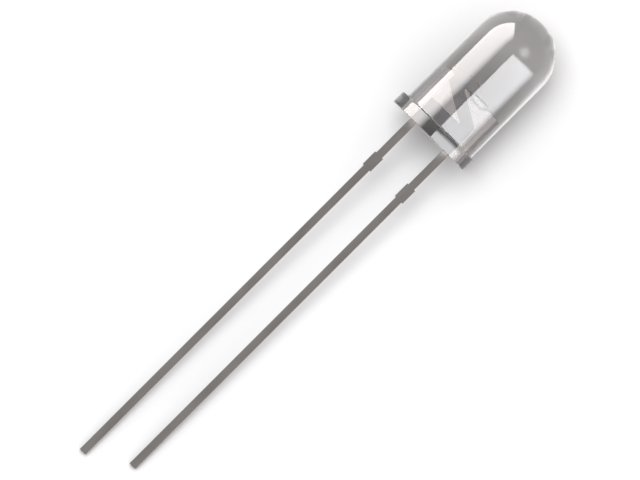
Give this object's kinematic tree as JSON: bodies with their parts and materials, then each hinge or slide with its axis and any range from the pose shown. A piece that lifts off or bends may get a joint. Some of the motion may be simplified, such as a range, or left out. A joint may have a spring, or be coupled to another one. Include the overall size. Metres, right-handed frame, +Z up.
{
  "type": "through hole led",
  "caption": "Clear round light-emitting diode with a flanged epoxy body, reflector cup, bond wire and a long and a short lead.",
  "frame": {"origin": "on the surface the diode lies on, under its own axis and the middle of its length", "axes": "+X along the surface towards the dome, +Y towards the anode (long lead), +Z up; the body's axis climbs 5.8 degrees towards +X and the leads' plane is rolled 3.2 degrees, because it rests on its flange's rim and both lead tips"},
  "size_m": [0.035, 0.0055, 0.006],
  "materials": {
    "clear_epoxy": "gloss",
    "tinned_steel": "satin",
    "die": "satin",
    "silver_cement": "matte",
    "gold_wire": "polished"
  },
  "bodies": {
    "root": {"lens_body": "clear_epoxy", "cathode_lead": "tinned_steel", "anode_lead": "tinned_steel", "led_die": "die", "die_cement": "silver_cement", "bond_wire": "gold_wire"}
  },
  "joints": []
}
